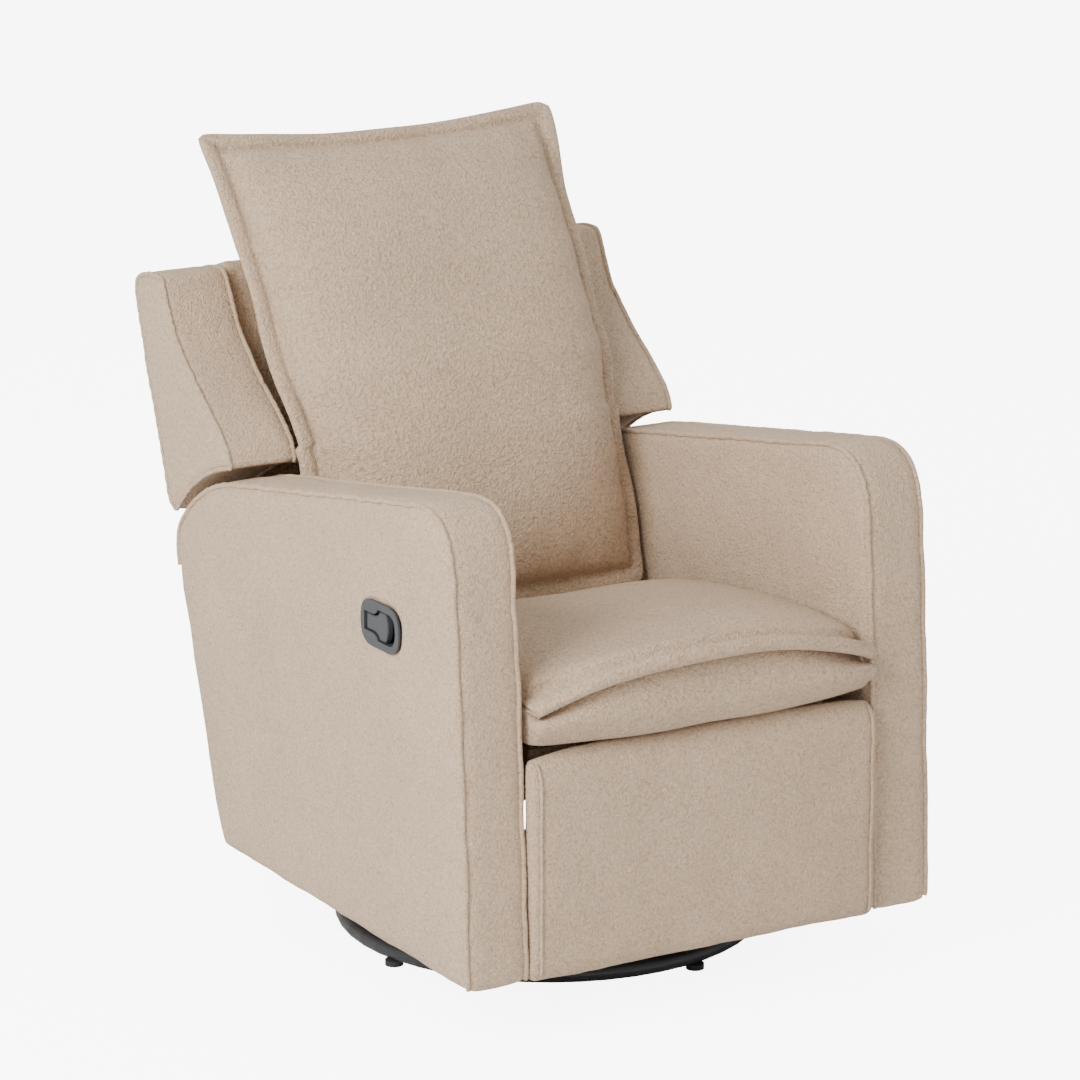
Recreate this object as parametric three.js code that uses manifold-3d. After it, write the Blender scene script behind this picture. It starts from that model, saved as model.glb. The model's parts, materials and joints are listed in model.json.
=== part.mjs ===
// Swivel glider chair with a reclining winged back and a linkage footrest.
// Millimetres, +Z up. The sitter faces -Y, so the sitter's left is +X. The origin is the centre
// of the bottom of the chair's bounding box. The parts are laid out around the swivel axis, and
// the last lines move the whole group to that origin.
import * as THREE from "three";
import { mergeVertices } from "three/addons/utils/BufferGeometryUtils.js";
import Module from "manifold-3d";

const wasm = await Module();
wasm.setup();

const DEG = Math.PI / 180;
const SIDES = [["left", 1], ["right", -1]];

// Clearances
const seatGap = 0.3; // between parts that rest on each other
const pinGap = 0.4; // around a pin in its hole
const layerGap = 1; // between neighbouring link layers
const coverGap = 3; // between upholstered parts

// Base and swivel
const swivelY = 16;
const ringRadius = 292;
const ringTube = 12;
const footHeight = 8;
const footRadius = 13;
const footTurn = 12.5;
const barWidth = 40;
const barHeight = 16;
const hubRadius = 95;
const plateThickness = 5;
const swivelPlateHalf = [150, 90];
const raceInner = 42;
const raceOuter = 82;
const boltRadius = 8;
const boltHead = 14; // radius across the corners
const boltHeadHeight = 7;

// Glider
const swingLength = 110;
const swingSpread = 85; // half the distance between front and rear links
const swingTopZ = 205;
const linkPlate = 4;
const linkWidth = 20;
const pinRadius = 4;
const gliderLayerGap = 3;
const pinEdge = 14; // metal left around a glider pin
const framePost = 30;
const frameSill = 40;
const frameHead = 25;
const crossBar = 15;
const hangerPost = 32;
const hangerEdge = 16; // beyond the pins, front and rear

// Seat
const armInner = 270; // half the width between the arms
const armWidth = 101;
const railWidth = 25;
const railHeight = 55;
const railBottom = 320;
const railFront = -315;
const railRear = 190;
const springRadius = 2;
const springCount = 4;
const springWaves = 7;
const springSway = 22;
const springInset = 12;
const deckThickness = 9;
const seatBottom = 386;
const cushionSideGap = 8;
const tubeRadius = 10;
const plateBottom = 285;
const plateTop = 381;
const plateFront = -248;
const plateRear = 240;
const frontTubeY = -130;
const rearTubeY = 160;

// Footrest linkage, as (y, z) in the closed position
const driveY = -178;
const driveZ = 340;
const pairY = -50; // from a rear pivot to its front partner
const pairZ = 28;
const swingArm = 240;
const hangAngle = 8;
const reach = 4; // long link length, in steps of the pivot pair
const crank = 35;
const driveTubeDistance = 180;
const padFront = -402;
const padThickness = 30;
const padBottom = 80;
const padTop = 381;
const boardThickness = 11;
const boardInset = 15;
const bracketTop = 14; // above the upper pivot
const bracketLow = 16; // below the lower pivot
const bracketRear = 12; // behind the pivots
const bracketFoot = 26;
const padBevel = 5;
const padTopRound = 30;
const padHem = 14;

// Arms
const armFront = -393;
const armBottom = 80;
const armTop = 716;
const armEndRadius = 300; // around the recline pivot
const armBevel = 12;
const slotWidth = 27;
const slotWall = 5;
const boardWidth = 16;
const slotFront = -250;
const slotRear = 225;
const slotTop = 575;
const armBoltInset = 20;
const armRearAngle = 41; // where the round end starts and stops, about the recline pivot
const armCapAngle = 81;

// Handle
const handleY = -178;
const handleZ = 528;
const bezelLength = 104;
const bezelHeight = 63;
const bezelRim = 7;
const bezelCorner = 30;
const cupCorner = 23;
const cupDepth = 36;
const cupWall = 3;
const flange = 3;
const stemHalf = 11;
const paddleGap = 2;
const paddlePlate = 10;
const headTip = -22; // from the bezel's centre, front is negative
const headRear = 2;
const hingePinY = 34;
const hingePinX = 6; // into the arm from its face
const hingePinRadius = 2.5;
const barrelRadius = 6;
const cableRadius = 2.5;
const cableEndY = -60;
const cableEndZ = 362;
const leverY = -95;
const leverZ = 362;
const leverWidth = 14;
const leverPlate = 3;

// Back, as r rearward and s up the back from the recline pivot
const reclineY = 215;
const reclineZ = 330;
const lean = 18.5;
const backRear = 173;
const slabFront = 100;
const slabSideGap = 18; // from the slab's side to the arm beside it
const slabBottom = 60;
const backTop = 620;
const backRound = 22;
const postWidth = 26;
const frameRail = 60;
const frameGap = 6; // between the frame and the shell around it
const shellWall = 8;
const skirtBottom = -45;
const skirtOverlap = 190;
const pillowBottom = 68;
const pillowTop = 800;
const flangeHalf = 4;
const pillowFront = 78; // bulge in front of the flange
const wingWidth = 110;
const wingBevel = 9;
const valanceRadius = 156;
const valanceWall = 6;
const valanceFrom = -34; // degrees about the recline pivot
const valanceTo = -72;

// Values worked out from the sizes above
const ringZ = footHeight + seatGap + ringTube;
const hubBottom = ringZ + barHeight / 2;
const raceZ = hubBottom + plateThickness + seatGap;
const raceHeight = plateThickness;
const upperRaceZ = raceZ + raceHeight + seatGap;
const swivelPlateZ = upperRaceZ + raceHeight + seatGap;
const lowerFrameZ = swivelPlateZ + plateThickness + seatGap;
const mechOuter = armInner - 9;
const mechInner = mechOuter - linkPlate;
const layerOne = mechInner - 6 - linkPlate; // rear and front links
const layerTwo = layerOne - layerGap - linkPlate; // long and control links
const layerThree = layerTwo - layerGap - linkPlate; // footrest brackets
const railOuter = layerThree - 9;
const railInner = railOuter - railWidth;
const hangerInner = railInner - 5 - linkPlate;
const swingInner = hangerInner - gliderLayerGap - linkPlate;
const frameInner = swingInner - gliderLayerGap - linkPlate;
const swingBottomZ = swingTopZ - swingLength;
const armOuter = armInner + armWidth;
const slabHalf = armInner - slabSideGap;
const pillowHalf = slabHalf - 2;
const wingInner = slabHalf + coverGap + 0.5;
const bracketInner = railOuter + 3;

const finishes = {
  fabric: { color: 0xd2c4b2, roughness: 0.95, metalness: 0 },
  steel: { color: 0x2a2b2c, roughness: 0.45, metalness: 0.8 },
  zinc: { color: 0x9a9ca0, roughness: 0.4, metalness: 0.9 },
  wood: { color: 0xb08a5c, roughness: 0.7, metalness: 0 },
  plastic: { color: 0x46484b, roughness: 0.5, metalness: 0 },
  rubber: { color: 0x1c1c1c, roughness: 0.9, metalness: 0 },
};

function part(name, geometry, finish, x = 0, y = 0, z = 0) {
  const mesh = new THREE.Mesh(geometry, new THREE.MeshStandardMaterial(finishes[finish]));
  mesh.name = name;
  mesh.position.set(x, y, z);
  return mesh;
}

// Solid work

function solidOf(geometry) {
  const bare = geometry.clone();
  bare.deleteAttribute("normal");
  bare.deleteAttribute("uv");
  const merged = mergeVertices(bare, 1e-3);
  const mesh = new wasm.Mesh({
    numProp: 3,
    vertProperties: merged.attributes.position.array,
    triVerts: new Uint32Array(merged.index.array),
  });
  return new wasm.Manifold(mesh);
}

function geometryOf(solid) {
  const mesh = solid.getMesh();
  const geometry = new THREE.BufferGeometry();
  geometry.setAttribute("position", new THREE.BufferAttribute(mesh.vertProperties, 3));
  geometry.setIndex(new THREE.BufferAttribute(mesh.triVerts, 1));
  geometry.computeVertexNormals();
  return geometry;
}

function joined(...pieces) {
  return geometryOf(pieces.map(solidOf).reduce((whole, piece) => whole.add(piece)));
}

function cut(body, ...tools) {
  return geometryOf(tools.map(solidOf).reduce((rest, tool) => rest.subtract(tool), solidOf(body)));
}

// Shapes

function box(x0, x1, y0, y1, z0, z1) {
  const geometry = new THREE.BoxGeometry(x1 - x0, y1 - y0, z1 - z0);
  return geometry.translate((x0 + x1) / 2, (y0 + y1) / 2, (z0 + z1) / 2);
}

function discZ(radius, z0, z1, segments = 24) {
  const geometry = new THREE.CylinderGeometry(radius, radius, z1 - z0, segments);
  return geometry.rotateX(90 * DEG).translate(0, 0, (z0 + z1) / 2);
}

// A round bar along x, from x0 to x1 on either side of the centre plane.
function barX(radius, x0, x1, y, z, segments = 12) {
  const geometry = new THREE.CylinderGeometry(radius, radius, Math.abs(x1 - x0), segments);
  return geometry.rotateZ(90 * DEG).translate((x0 + x1) / 2, y, z);
}

// A (y, z) outline given thickness along x, centred on x = 0.
function slabX(shape, thickness, bevel = 0, curveSegments = 6) {
  const geometry = new THREE.ExtrudeGeometry(shape, {
    depth: thickness - 2 * bevel,
    curveSegments,
    bevelEnabled: bevel > 0,
    bevelThickness: bevel,
    bevelSize: bevel,
    bevelOffset: -bevel,
    bevelSegments: 2,
  });
  geometry.translate(0, 0, bevel - thickness / 2);
  const turn = new THREE.Matrix4().makeBasis(
    new THREE.Vector3(0, 1, 0),
    new THREE.Vector3(0, 0, 1),
    new THREE.Vector3(1, 0, 0),
  );
  return geometry.applyMatrix4(turn);
}

function polygon(points) {
  return new THREE.Shape(points.map(([y, z]) => new THREE.Vector2(y, z)));
}

function ring(inner, outer, z0, z1) {
  const profile = [[inner, z0], [outer, z0], [outer, z1], [inner, z1], [inner, z0]];
  const points = profile.map(([r, z]) => new THREE.Vector2(r, z));
  return new THREE.LatheGeometry(points, 32).rotateX(90 * DEG);
}

// The outline of a flat link with round ends, between two (y, z) points.
function linkOutline(from, to, width) {
  const along = Math.atan2(to[1] - from[1], to[0] - from[0]);
  const shape = new THREE.Shape();
  shape.absarc(to[0], to[1], width / 2, along - 90 * DEG, along + 90 * DEG);
  shape.absarc(from[0], from[1], width / 2, along + 90 * DEG, along + 270 * DEG);
  return shape;
}

function withHoles(shape, points, radius) {
  for (const [y, z] of points) {
    const hole = new THREE.Path();
    hole.absarc(y, z, radius, 0, 360 * DEG, true);
    shape.holes.push(hole);
  }
  return shape;
}

// A closed skin through rings of equal point count, capped at both ends.
function loft(rings) {
  const count = rings[0].length;
  const positions = rings.flat().flatMap((point) => point.toArray());
  const index = [];
  for (let i = 0; i + 1 < rings.length; i++) {
    for (let j = 0; j < count; j++) {
      const a = i * count + j;
      const b = i * count + ((j + 1) % count);
      index.push(a, b, b + count, a, b + count, a + count);
    }
  }
  for (const [ringIndex, flip] of [[0, true], [rings.length - 1, false]]) {
    const middle = new THREE.Vector3();
    rings[ringIndex].forEach((point) => middle.addScaledVector(point, 1 / count));
    const apex = positions.length / 3;
    positions.push(...middle.toArray());
    for (let j = 0; j < count; j++) {
      const a = ringIndex * count + j;
      const b = ringIndex * count + ((j + 1) % count);
      index.push(...(flip ? [b, a, apex] : [a, b, apex]));
    }
  }
  const geometry = new THREE.BufferGeometry();
  geometry.setAttribute("position", new THREE.Float32BufferAttribute(positions, 3));
  geometry.setIndex(index);
  geometry.computeVertexNormals();
  return geometry;
}

// Base: ring, crossed bars and hub plate, welded; four feet; the lower race.
function base() {
  const group = new THREE.Group();
  group.position.y = swivelY;
  const section = new THREE.Path();
  section.absarc(ringRadius, ringZ, ringTube, 0, 360 * DEG);
  const tube = new THREE.LatheGeometry(section.getPoints(10), 48).rotateX(90 * DEG);
  const bars = [45, 135].map((turn) => {
    const bar = box(-ringRadius, ringRadius, -barWidth / 2, barWidth / 2, 0, barHeight);
    return bar.rotateZ(turn * DEG).translate(0, 0, ringZ - barHeight / 2);
  });
  const hub = discZ(hubRadius, hubBottom - 1, hubBottom + plateThickness);
  const hole = discZ(boltRadius + pinGap, 0, raceZ, 16);
  group.add(part("base_ring", cut(joined(tube, ...bars, hub), hole), "steel"));
  for (let i = 0; i < 4; i++) {
    const turn = (footTurn + 90 * i) * DEG;
    const foot = discZ(footRadius, 0, footHeight, 16);
    const x = ringRadius * Math.cos(turn);
    group.add(part(`foot_${i + 1}`, foot, "rubber", x, ringRadius * Math.sin(turn)));
  }
  group.add(part("swivel_race_lower", ring(raceInner, raceOuter, raceZ, raceZ + raceHeight), "zinc"));
  return group;
}

// Swivel: upper race, plate, centre bolt and the welded lower frame of the glider.
function swivel() {
  const group = new THREE.Group();
  group.position.y = swivelY;
  const race = ring(raceInner, raceOuter, upperRaceZ, upperRaceZ + raceHeight);
  group.add(part("swivel_race_upper", race, "zinc"));
  const [plateX, plateY] = swivelPlateHalf;
  const plate = box(-plateX, plateX, -plateY, plateY, swivelPlateZ, swivelPlateZ + plateThickness);
  const opening = discZ(boltRadius + seatGap, 0, lowerFrameZ, 16);
  group.add(part("swivel_plate", cut(plate, opening), "steel"));
  const shank = discZ(boltRadius, hubBottom - 2, lowerFrameZ + 3, 16);
  const head = discZ(boltHead, lowerFrameZ, lowerFrameZ + boltHeadHeight, 6);
  group.add(part("swivel_bolt", joined(shank, head), "zinc"));
  group.add(part("glider_lower_frame", gliderFrame(), "steel"));
  return group;
}

function gliderFrame() {
  const footY = swingSpread + linkWidth / 2 + 5;
  const top = swingTopZ + pinEdge;
  const outline = [[-footY, lowerFrameZ], [footY, lowerFrameZ], [footY, top], [-footY, top]];
  const window = new THREE.Path();
  const sill = lowerFrameZ + frameSill;
  const jamb = footY - framePost;
  window.moveTo(-jamb, sill);
  window.lineTo(jamb, sill);
  window.lineTo(jamb, swingTopZ - frameHead);
  window.lineTo(-jamb, swingTopZ - frameHead);
  const pieces = [];
  for (const [, side] of SIDES) {
    const shape = polygon(outline);
    shape.holes.push(window);
    pieces.push(slabX(shape, linkPlate).translate(side * (frameInner + linkPlate / 2), 0, 0));
    for (const y of [-swingSpread, swingSpread]) {
      const tip = swingInner + linkPlate + 1.5;
      pieces.push(barX(pinRadius, side * (frameInner + 1), side * tip, y, swingTopZ));
    }
  }
  for (const y of [-swingSpread, swingSpread]) {
    const half = frameInner + 1;
    pieces.push(box(-half, half, y - crossBar, y + crossBar, lowerFrameZ, lowerFrameZ + crossBar));
  }
  return joined(...pieces);
}

function swingLinks() {
  const group = new THREE.Group();
  for (const [end, y] of [["front", -swingSpread], ["rear", swingSpread]]) {
    for (const [name, side] of SIDES) {
      const outline = linkOutline([0, -swingLength], [0, 0], linkWidth);
      withHoles(outline, [[0, 0], [0, -swingLength]], pinRadius + pinGap);
      const x = side * (swingInner + linkPlate / 2);
      const link = slabX(outline, linkPlate);
      group.add(part(`swing_link_${end}_${name}`, link, "zinc", x, swivelY + y, swingTopZ));
    }
  }
  return group;
}

// Seat frame: rails, springs, glider hangers, deck cover and rear valance.
function seatFrame() {
  const group = new THREE.Group();
  const top = railBottom + railHeight;
  for (const [name, side] of SIDES) {
    const [x0, x1] = [side * railInner, side * railOuter].sort((a, b) => a - b);
    const rail = box(x0, x1, railFront, railRear, railBottom, top);
    group.add(part(`seat_rail_${name}`, rail, "wood"));
    group.add(part(`glider_hanger_${name}`, hanger(side), "steel"));
  }
  const inside = railInner - seatGap;
  const front = box(-inside, inside, railFront, railFront + railWidth, railBottom, top);
  const rear = box(-inside, inside, railRear - railWidth, railRear, railBottom, top);
  group.add(part("seat_rail_front", front, "wood"));
  group.add(part("seat_rail_rear", rear, "wood"));
  for (let i = 0; i < springCount; i++) {
    const x = (i - (springCount - 1) / 2) * ((2 * inside) / springCount);
    group.add(part(`seat_spring_${i + 1}`, sinuousSpring(), "zinc", x, 0, top + springRadius + seatGap));
  }
  const deckHalf = railOuter + 4;
  const deck = box(-deckHalf, deckHalf, railFront - deckThickness, railFront - seatGap, railBottom, top);
  group.add(part("deck_cover", deck, "fabric"));
  const valance = slabX(valanceOutline(), 2 * (armInner - 0.5));
  group.add(part("rear_valance", valance, "fabric", 0, reclineY, reclineZ));
  return group;
}

function sinuousSpring() {
  const start = railFront + springInset;
  const length = railRear - railFront - 2 * springInset;
  const points = [];
  const steps = springWaves * 6;
  for (let i = 0; i <= steps; i++) {
    const along = i / steps;
    const sway = springSway * Math.sin(along * springWaves * 2 * Math.PI);
    points.push(new THREE.Vector3(sway, start + along * length, 0));
  }
  const section = new THREE.Shape();
  section.absarc(0, 0, springRadius, 0, 360 * DEG);
  return new THREE.ExtrudeGeometry(section, {
    curveSegments: 3,
    steps,
    bevelEnabled: false,
    extrudePath: new THREE.CatmullRomCurve3(points),
  });
}

// The seat's plate that hangs on the swing links, with a flange under the side rail.
function hanger(side) {
  const reachY = swingSpread + hangerEdge;
  const outline = polygon([
    [swivelY - reachY, swingBottomZ - pinEdge],
    [swivelY + reachY, swingBottomZ - pinEdge],
    [swivelY + reachY, railBottom - seatGap],
    [swivelY - reachY, railBottom - seatGap],
  ]);
  const window = new THREE.Path();
  const jamb = reachY - hangerPost;
  window.moveTo(swivelY - jamb, swingBottomZ + hangerEdge);
  window.lineTo(swivelY + jamb, swingBottomZ + hangerEdge);
  window.lineTo(swivelY + jamb, railBottom - frameSill);
  window.lineTo(swivelY - jamb, railBottom - frameSill);
  outline.holes.push(window);
  const plate = slabX(outline, linkPlate).translate(side * (hangerInner + linkPlate / 2), 0, 0);
  const [x0, x1] = [side * hangerInner, side * railOuter].sort((a, b) => a - b);
  const shelf = box(x0, x1, swivelY - reachY, swivelY + reachY, railBottom - 5, railBottom - seatGap);
  const pins = [-swingSpread, swingSpread].map((y) =>
    barX(pinRadius, side * (swingInner - 1), side * (hangerInner + 1), swivelY + y, swingBottomZ),
  );
  return joined(plate, shelf, ...pins);
}

// A shield around the swept rear skirt of the back, then straight down to the hem.
function valanceOutline() {
  const shape = new THREE.Shape();
  const inner = valanceRadius - valanceWall;
  const low = armBottom + 5 - reclineZ;
  const hemY = Math.cos(valanceTo * DEG) * valanceRadius;
  shape.moveTo(hemY + 4, low);
  shape.lineTo(hemY + 4, -valanceRadius - 20);
  shape.absarc(0, 0, valanceRadius, valanceTo * DEG, valanceFrom * DEG);
  shape.absarc(0, 0, inner, valanceFrom * DEG, (valanceTo - 2) * DEG, true);
  shape.lineTo(hemY - 4, low);
  return shape;
}

// Arms: upholstered block, the wooden board in its slot.
function armOutline() {
  const shape = new THREE.Shape();
  const tilt = lean * DEG;
  const rearLine = (s) => [
    reclineY + (backRear + 2) * Math.cos(tilt) + s * Math.sin(tilt),
    reclineZ - (backRear + 2) * Math.sin(tilt) + s * Math.cos(tilt),
  ];
  const hemS = (armBottom - rearLine(0)[1]) / Math.cos(tilt);
  shape.moveTo(armFront, armBottom);
  shape.lineTo(...rearLine(hemS));
  shape.lineTo(...rearLine(200));
  shape.quadraticCurveTo(...rearLine(234), ...arcPoint(armRearAngle));
  shape.absarc(reclineY, reclineZ, armEndRadius, armRearAngle * DEG, armCapAngle * DEG);
  shape.lineTo(...arcPoint(armCapAngle));
  shape.lineTo(armFront + 132, armTop - 2);
  shape.bezierCurveTo(armFront + 75, armTop + 4, armFront + 36, armTop - 20, armFront + 32, armTop - 90);
  shape.quadraticCurveTo(armFront + 8, (armTop + armBottom) / 2 - 60, armFront, armBottom);
  return shape;
}

function arcPoint(angle) {
  const y = reclineY + armEndRadius * Math.cos(angle * DEG);
  return [y, reclineZ + armEndRadius * Math.sin(angle * DEG)];
}

function arms() {
  const group = new THREE.Group();
  for (const [name, side] of SIDES) {
    const slotX = side * (armInner + slotWall + slotWidth / 2);
    const slot = box(-slotWidth / 2, slotWidth / 2, slotFront, slotRear, 0, slotTop).translate(slotX, 0, 0);
    const block = slabX(armOutline(), armWidth, armBevel).translate(side * (armInner + armWidth / 2), 0, 0);
    const boardX = side * (armInner + slotWall + 1 + boardWidth / 2);
    const board = box(-boardWidth / 2, boardWidth / 2, slotFront + 1, slotRear - 1, armBottom + 2, slotTop - 2);
    const tools = [slot];
    const boardTools = [];
    for (const [y, z] of armBolts()) {
      tools.push(barX(pinRadius + pinGap, side * (armInner - 2), side * (armInner + slotWall + 2), y, z));
      boardTools.push(barX(pinRadius + pinGap, -boardWidth, boardWidth, y, z));
    }
    if (side < 0) {
      tools.push(cupTool());
      tools.push(barX(cableRadius * 2, -armInner + 2, -armInner - slotWall - 2, cableEndY, cableEndZ));
      boardTools.push(barX(cableRadius * 5, -boardWidth, boardWidth, cableEndY, cableEndZ));
    }
    group.add(part(`arm_${name}`, cut(block, ...tools), "fabric"));
    group.add(part(`arm_board_${name}`, cut(board, ...boardTools), "wood", boardX));
  }
  return group;
}

function armBolts() {
  return [slotFront + armBoltInset, slotRear - armBoltInset].map((y) => [y, plateBottom + armBoltInset]);
}

// Footrest mechanism. Every pivot is worked out from the driving lengths.
const hangY = swingArm * Math.sin(hangAngle * DEG);
const hangZ = -swingArm * Math.cos(hangAngle * DEG);
const crankY = crank * Math.sin(hangAngle * DEG);
const crankZ = -crank * Math.cos(hangAngle * DEG);
const rearTop = [driveY, driveZ];
const frontTop = [driveY + pairY, driveZ + pairZ];
const rearLow = [driveY + hangY, driveZ + hangZ];
const frontLow = [rearLow[0] + pairY, rearLow[1] + pairZ];
const crankEnd = [frontLow[0] + crankY, frontLow[1] + crankZ];
const padPivot = [rearLow[0] + reach * pairY, rearLow[1] + reach * pairZ];
const padCrank = [padPivot[0] + crankY, padPivot[1] + crankZ];

function mechanismPlate(side) {
  const outline = polygon([
    [plateFront, plateBottom],
    [plateRear, plateBottom],
    [plateRear, plateTop],
    [plateFront, plateTop],
  ]);
  const plate = slabX(outline, linkPlate).translate(side * (mechInner + linkPlate / 2), 0, 0);
  const studs = [rearTop, frontTop].map(([y, z]) =>
    barX(pinRadius, side * (layerOne - 0.5), side * (mechInner + 1), y, z),
  );
  const hinge = barX(2 * pinRadius, side * (bracketInner - 1), side * (mechInner + 1), reclineY, reclineZ, 16);
  const bolts = armBolts().map(([y, z]) =>
    barX(pinRadius, side * (mechOuter - 1), side * (armInner + slotWall + boardWidth), y, z),
  );
  const extra = side < 0 ? [barX(pinRadius, -mechOuter + 1, -armInner + 2, leverY, leverZ)] : [];
  return joined(plate, ...studs, hinge, ...bolts, ...extra);
}

function mechanism() {
  const group = new THREE.Group();
  for (const [name, side] of SIDES) {
    group.add(part(`mechanism_plate_${name}`, mechanismPlate(side), "steel"));
  }
  const tubeZ = plateBottom + tubeRadius + 2;
  for (const [name, y] of [["front", frontTubeY], ["rear", rearTubeY]]) {
    const half = mechInner - seatGap;
    group.add(part(`mechanism_tube_${name}`, barX(tubeRadius, -half, half, y, tubeZ), "steel"));
  }
  return group;
}

// A link in one layer, with studs that reach into the next layer inwards.
function link(side, layer, from, to, holes, studs) {
  const outline = withHoles(linkOutline(from, to, linkWidth - 2), holes, pinRadius + pinGap);
  const plate = slabX(outline, linkPlate).translate(side * (layer + linkPlate / 2), 0, 0);
  const tip = layer - layerGap - linkPlate - 0.4;
  const pins = studs.map(([y, z]) => barX(pinRadius, side * tip, side * (layer + 1), y, z));
  return pins.length ? joined(plate, ...pins) : joined(plate);
}

function footrestLinks() {
  const group = new THREE.Group();
  for (const [name, side] of SIDES) {
    const rear = link(side, layerOne, rearLow, rearTop, [rearTop], [rearLow]);
    const front = link(side, layerOne, crankEnd, frontTop, [frontTop], [frontLow, crankEnd]);
    const long = link(side, layerTwo, rearLow, padPivot, [rearLow, frontLow], [padPivot]);
    const control = link(side, layerTwo, crankEnd, padCrank, [crankEnd], [padCrank]);
    group.add(part(`footrest_link_rear_${name}`, rear, "zinc"));
    group.add(part(`footrest_link_front_${name}`, front, "zinc"));
    group.add(part(`footrest_link_long_${name}`, long, "zinc"));
    group.add(part(`footrest_link_control_${name}`, control, "zinc"));
  }
  const share = driveTubeDistance / swingArm;
  const half = layerOne - seatGap;
  const y = driveY + share * hangY;
  group.add(part("footrest_drive_tube", barX(tubeRadius - 1, -half, half, y, driveZ + share * hangZ), "steel"));
  return group;
}

function footrest() {
  const group = new THREE.Group();
  const boardFront = padFront + padThickness + seatGap;
  const boardRear = boardFront + boardThickness;
  const half = armInner - coverGap;
  for (const [name, side] of SIDES) {
    const low = padCrank[1] - bracketLow;
    const high = padPivot[1] + bracketTop;
    const outline = polygon([
      [boardRear + seatGap, low],
      [padCrank[0] + bracketRear, low],
      [padPivot[0] + bracketRear, high],
      [boardRear + seatGap, high],
    ]);
    withHoles(outline, [padPivot, padCrank], pinRadius + pinGap);
    const x = side * (layerThree + linkPlate / 2);
    const plate = slabX(outline, linkPlate).translate(x, 0, 0);
    const [x0, x1] = [side * (layerThree - bracketFoot), side * (layerThree + linkPlate)].sort((a, b) => a - b);
    const foot = box(x0, x1, boardRear + seatGap, boardRear + 3, low, high);
    group.add(part(`footrest_bracket_${name}`, joined(plate, foot), "steel"));
  }
  const boardHalf = half - boardInset;
  const board = box(-boardHalf, boardHalf, boardFront, boardRear, padBottom + boardInset, padTop - boardInset);
  group.add(part("footrest_board", board, "wood"));
  group.add(part("footrest_pad", slabX(padOutline(), 2 * half, padBevel), "fabric"));
  return group;
}

function padOutline() {
  const rear = padFront + padThickness;
  const shape = new THREE.Shape();
  shape.moveTo(rear, padBottom);
  shape.lineTo(rear, padTop);
  shape.quadraticCurveTo(padFront + 2, padTop, padFront, padTop - padTopRound);
  shape.lineTo(padFront, padBottom + padHem);
  shape.lineTo(padFront + 8, padBottom);
  return shape;
}

// Seat cushion: top edge and crown heights from the rear to the front lip.
const cushionTop = [
  [200, 402, 402],
  [175, 407, 407],
  [120, 425, 428],
  [40, 441, 462],
  [-60, 455, 488],
  [-180, 467, 502],
  [-290, 470, 508],
  [-375, 464, 505],
  [-412, 448, 494],
  [-426, 436, 474],
  [-424, 424, 440],
  [-410, 408, 412],
];
const cushionBottom = [[-388, 396], [-360, seatBottom], [0, seatBottom], [190, seatBottom]];

function seatCushion() {
  const half = armInner - cushionSideGap;
  const stations = [-1, -0.95, -0.8, -0.5, 0, 0.5, 0.8, 0.95, 1];
  const rings = stations.map((station) => {
    const rise = Math.sqrt(1 - Math.abs(station) ** 2.5);
    const top = cushionTop.map(([y, edge, crown]) => {
      const z = edge + (crown - edge) * rise;
      return new THREE.Vector3(station * half, y, z);
    });
    const bottom = cushionBottom.map(([y, z]) => new THREE.Vector3(station * half, y, z));
    return [...bottom, ...top];
  });
  return part("seat_cushion", loft(rings), "fabric");
}

// Back: everything is laid out in (r, s) and leaned as one group.
function back() {
  const group = new THREE.Group();
  group.position.set(0, reclineY, reclineZ);
  group.rotation.x = -lean * DEG;
  group.add(part("back_shell", backShell(), "fabric"));
  group.add(part("back_frame", backFrame(), "wood"));
  group.add(part("back_cushion", loft(pillowRings()), "fabric"));
  for (const [name, side] of SIDES) {
    const wing = slabX(wingOutline(), wingWidth, wingBevel);
    group.add(part(`wing_${name}`, wing, "fabric", side * (wingInner + wingWidth / 2)));
    const bracketX = side * (bracketInner + linkPlate / 2);
    group.add(part(`recline_bracket_${name}`, reclineBracket(), "steel", bracketX));
  }
  return group;
}

function backShell() {
  const round = backRound;
  const outline = new THREE.Shape();
  outline.moveTo(slabFront, slabBottom);
  outline.lineTo(backRear, slabBottom);
  outline.lineTo(backRear, backTop - round);
  outline.quadraticCurveTo(backRear, backTop, backRear - round, backTop);
  outline.lineTo(slabFront + round, backTop);
  outline.quadraticCurveTo(slabFront, backTop, slabFront, backTop - round);
  const block = slabX(outline, 2 * slabHalf);
  const skin = backRear - shellWall - 2;
  const skirtHalf = armInner - cushionSideGap;
  const skirt = box(-skirtHalf, skirtHalf, skin, backRear, skirtBottom, slabBottom + skirtOverlap);
  const inside = slabHalf - shellWall;
  const hollow = box(-inside, inside, slabFront + shellWall, skin, 0, backTop - shellWall * 2);
  return cut(joined(block, skirt), hollow);
}

function backFrame() {
  const front = slabFront + shellWall + frameGap;
  const rear = backRear - shellWall - frameGap;
  const low = slabBottom + 2;
  const high = backTop - 2 * shellWall - 4;
  const posts = SIDES.map(([, side]) => {
    const [x0, x1] = [side * (bracketInner - postWidth), side * (bracketInner - seatGap)].sort((a, b) => a - b);
    return box(x0, x1, front, rear, low, high);
  });
  const half = bracketInner - 10;
  const rails = [[low + 8, low + 8 + frameRail], [high - 10 - frameRail, high]].map(([z0, z1]) =>
    box(-half, half, front, front + 24, z0, z1),
  );
  return joined(...posts, ...rails);
}

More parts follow.
